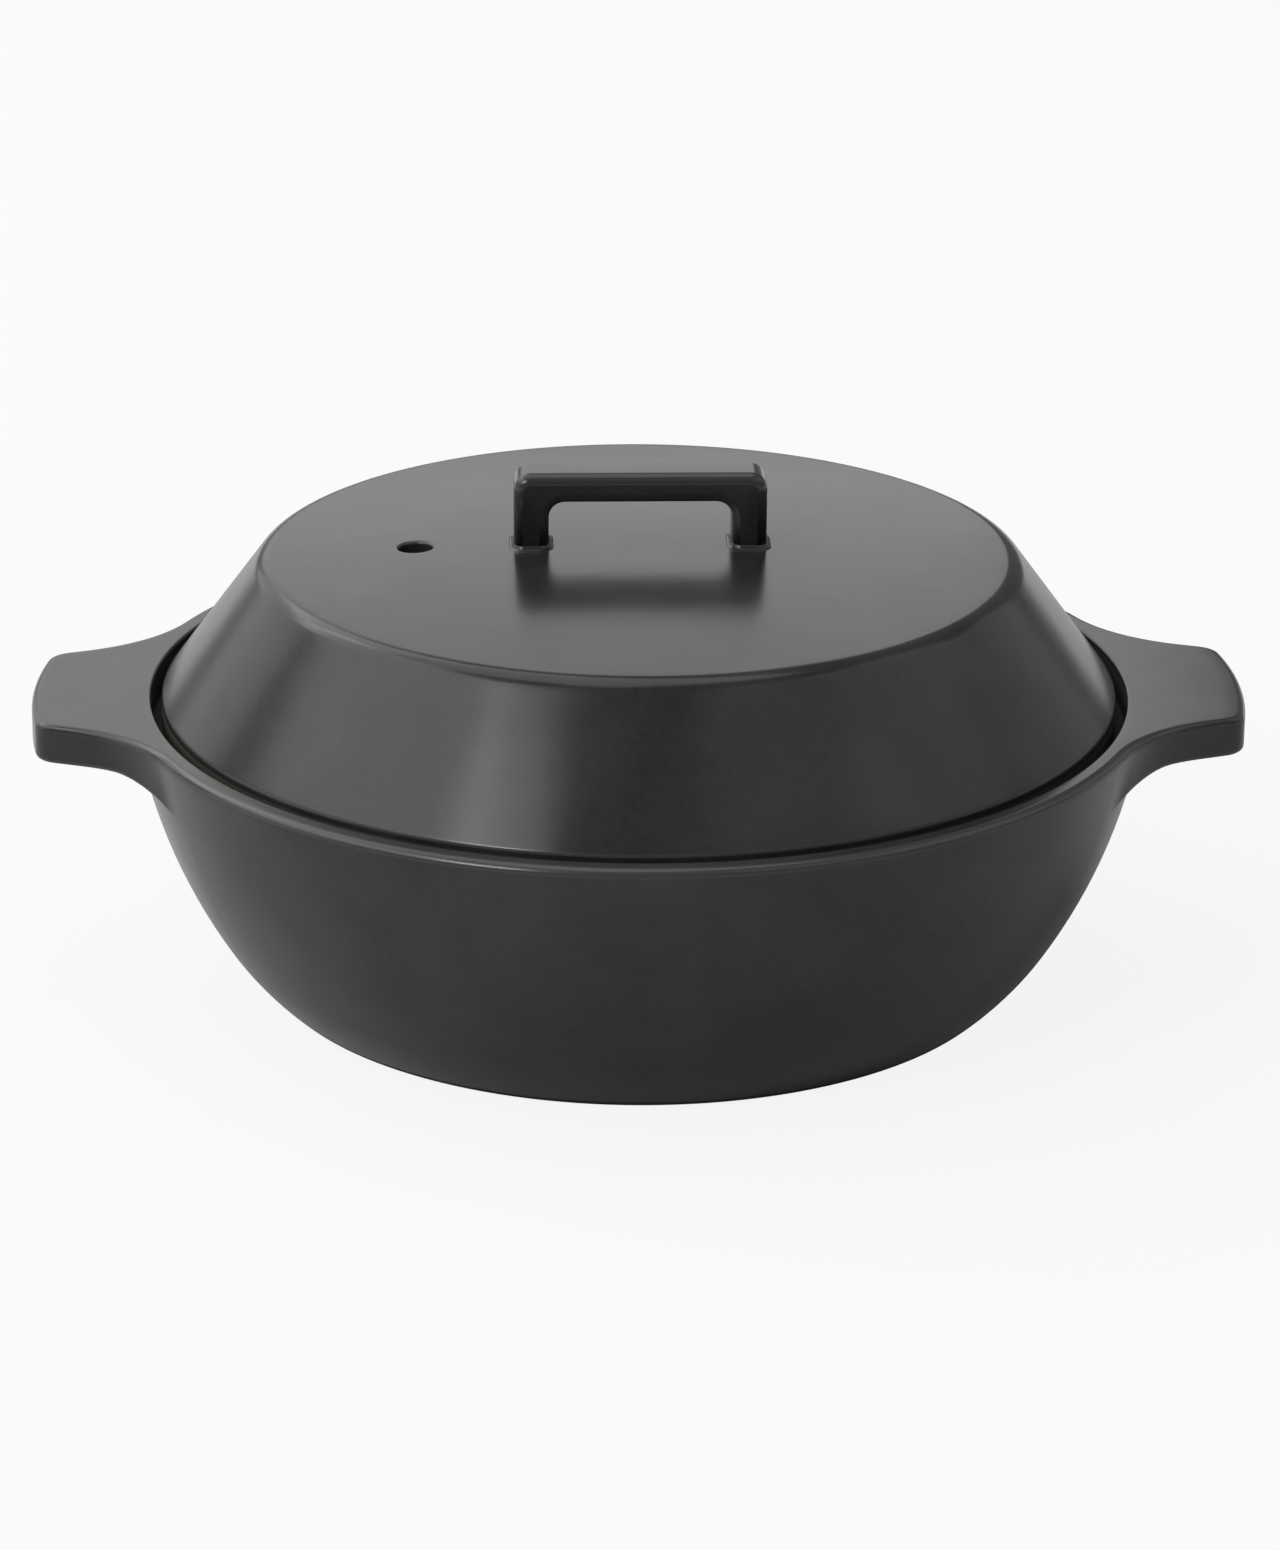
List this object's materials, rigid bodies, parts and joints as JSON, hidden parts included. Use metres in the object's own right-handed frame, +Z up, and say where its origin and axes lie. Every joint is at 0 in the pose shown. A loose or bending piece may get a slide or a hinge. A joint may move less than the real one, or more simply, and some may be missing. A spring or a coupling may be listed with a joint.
{
  "type": "donabe clay pot",
  "caption": "Lidded clay cooking pot with flat lug handles flush with its rim and a cone-shaped lid with a steam vent and a bridge handle, for simmering and serving.",
  "frame": {"origin": "centre of the base, on the surface that the pot stands on", "axes": "+Z up along the pot's axis, +X towards the right-hand lug as seen from the front, +Y away from the front; the steam vent lies towards -X"},
  "size_m": [0.305, 0.2564, 0.1315],
  "materials": {
    "glazed_stoneware": "satin-matt charcoal glaze"
  },
  "bodies": {
    "pot": {"pot_bowl": "glazed_stoneware", "ear_left": "glazed_stoneware", "ear_right": "glazed_stoneware"},
    "lid": {"lid": "glazed_stoneware", "lid_handle": "glazed_stoneware"}
  },
  "joints": [
    {"name": "lid_lift", "type": "slide", "parent": "pot", "child": "lid", "axis": [0, 0, 1], "range_m": [0, 0.12]}
  ]
}
